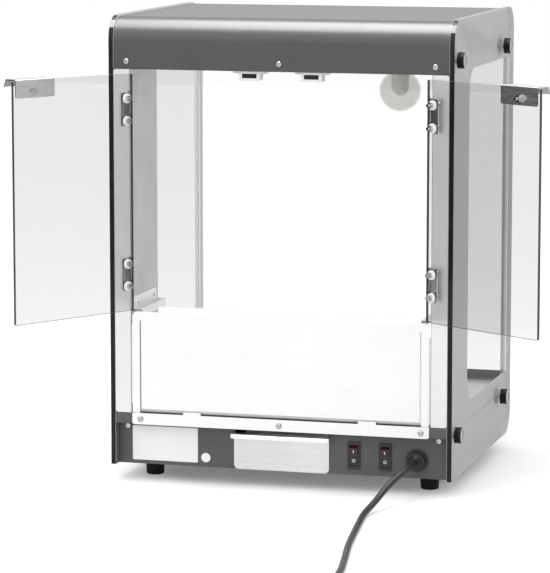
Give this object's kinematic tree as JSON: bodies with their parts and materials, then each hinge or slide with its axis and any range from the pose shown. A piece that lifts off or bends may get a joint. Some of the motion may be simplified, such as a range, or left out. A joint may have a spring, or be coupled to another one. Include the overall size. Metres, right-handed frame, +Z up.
{
  "type": "chip warmer",
  "caption": "Countertop chip warmer: heated glass cabinet with two hinged glass doors, lift-out gate, crumb tray, lamp and two rocker switches.",
  "frame": {"origin": "centre of the cabinet's footprint, on the surface that its four feet stand on", "axes": "+Z up; +Y from the service side with the doors towards the customer side; +X to the right as seen from the service side"},
  "size_m": [0.6798, 0.9735, 0.588],
  "materials": {
    "clear_glass": "clear toughened glass",
    "grey_print": "grey enamel printed on the back of the glass",
    "stainless": "brushed stainless sheet",
    "grey_coat": "dark grey powder coat",
    "cover_coat": "smooth grey powder coat",
    "galvanised": "galvanised sheet",
    "screw_steel": "bright plated steel",
    "white_nylon": "white nylon",
    "magnet": "dark ferrite",
    "frosted_glass": "frosted white glass",
    "lamp_white": "white heat-proof plastic",
    "heater_sheath": "heat-dulled steel sheath",
    "thermostat": "pressed can",
    "terminal": "off-white moulding",
    "label": "bare white label film",
    "black_plastic": "black moulding",
    "red_plastic": "black rocker with a dark red upper half",
    "black_rubber": "black rubber",
    "cord_jacket": "black round flexible cord"
  },
  "bodies": {
    "cabinet": {"left_side_glass": "clear_glass", "right_side_glass": "clear_glass", "left_side_print": "grey_print", "right_side_print": "grey_print", "left_rear_post": "stainless", "right_rear_post": "stainless", "left_side_ledge": "stainless", "right_side_ledge": "stainless", "front_glass_strips": "stainless", "top_cover": "cover_coat", "roof_liner": "galvanised", "front_glass": "clear_glass", "base_pan": "grey_coat", "base_panel": "grey_coat", "front_skirt": "grey_coat", "deck_plate": "stainless", "sill_strip": "stainless", "magnet_catches": "white_nylon", "catch_magnets": "magnet", "lamp_globe": "frosted_glass", "lamp_holder": "lamp_white", "lamp_bulb": "lamp_white", "heating_element": "heater_sheath", "heater_saddles": "galvanised", "thermostat": "thermostat", "terminal_block": "terminal", "label_plate": "label", "round_sticker": "label", "lamp_switch_body": "black_plastic", "heat_switch_body": "black_plastic", "cord_gland": "black_plastic", "gland_locknut": "screw_steel", "knob_washers": "black_rubber", "thumb_knobs": "black_plastic", "stud_nuts": "screw_steel", "feet": "black_rubber", "foot_screws": "screw_steel", "panel_screws": "screw_steel", "hinge_leaves": "stainless", "hinge_pins": "screw_steel", "small_screws": "screw_steel", "cord": "cord_jacket", "cord_coil": "cord_jacket", "plug": "cord_jacket"},
    "gate": {"gate_panel": "stainless"},
    "tray": {"tray_front": "stainless", "crumb_tray": "stainless"},
    "left_door": {"left_door_glass": "clear_glass", "left_door_leaves": "stainless", "left_door_handle": "stainless", "left_door_washers": "white_nylon", "left_door_screws": "screw_steel"},
    "right_door": {"right_door_glass": "clear_glass", "right_door_leaves": "stainless", "right_door_handle": "stainless", "right_door_washers": "white_nylon", "right_door_screws": "screw_steel"},
    "lamp_switch": {"lamp_rocker": "red_plastic"},
    "heat_switch": {"heat_rocker": "red_plastic"}
  },
  "joints": [
    {"name": "left_door_hinge", "type": "hinge", "parent": "cabinet", "child": "left_door", "pos_m": [-0.1913, -0.1856, 0.3675], "axis": [0, 0, -1], "range_deg": [-121, 39]},
    {"name": "right_door_hinge", "type": "hinge", "parent": "cabinet", "child": "right_door", "pos_m": [0.1913, -0.1856, 0.3675], "axis": [0, 0, 1], "range_deg": [-146.6, 13.4]},
    {"name": "gate_lift", "type": "slide", "parent": "cabinet", "child": "gate", "axis": [0, 0, 1], "range_m": [0, 0.1]},
    {"name": "tray_slide", "type": "slide", "parent": "cabinet", "child": "tray", "axis": [0, -1, 0], "range_m": [0, 0.24]},
    {"name": "lamp_rocker_pivot", "type": "hinge", "parent": "cabinet", "child": "lamp_switch", "pos_m": [0.0934, -0.168, 0.0459], "axis": [-1, 0, 0], "range_deg": [0, 20]},
    {"name": "heat_rocker_pivot", "type": "hinge", "parent": "cabinet", "child": "heat_switch", "pos_m": [0.1334, -0.168, 0.0459], "axis": [-1, 0, 0], "range_deg": [0, 20]}
  ]
}
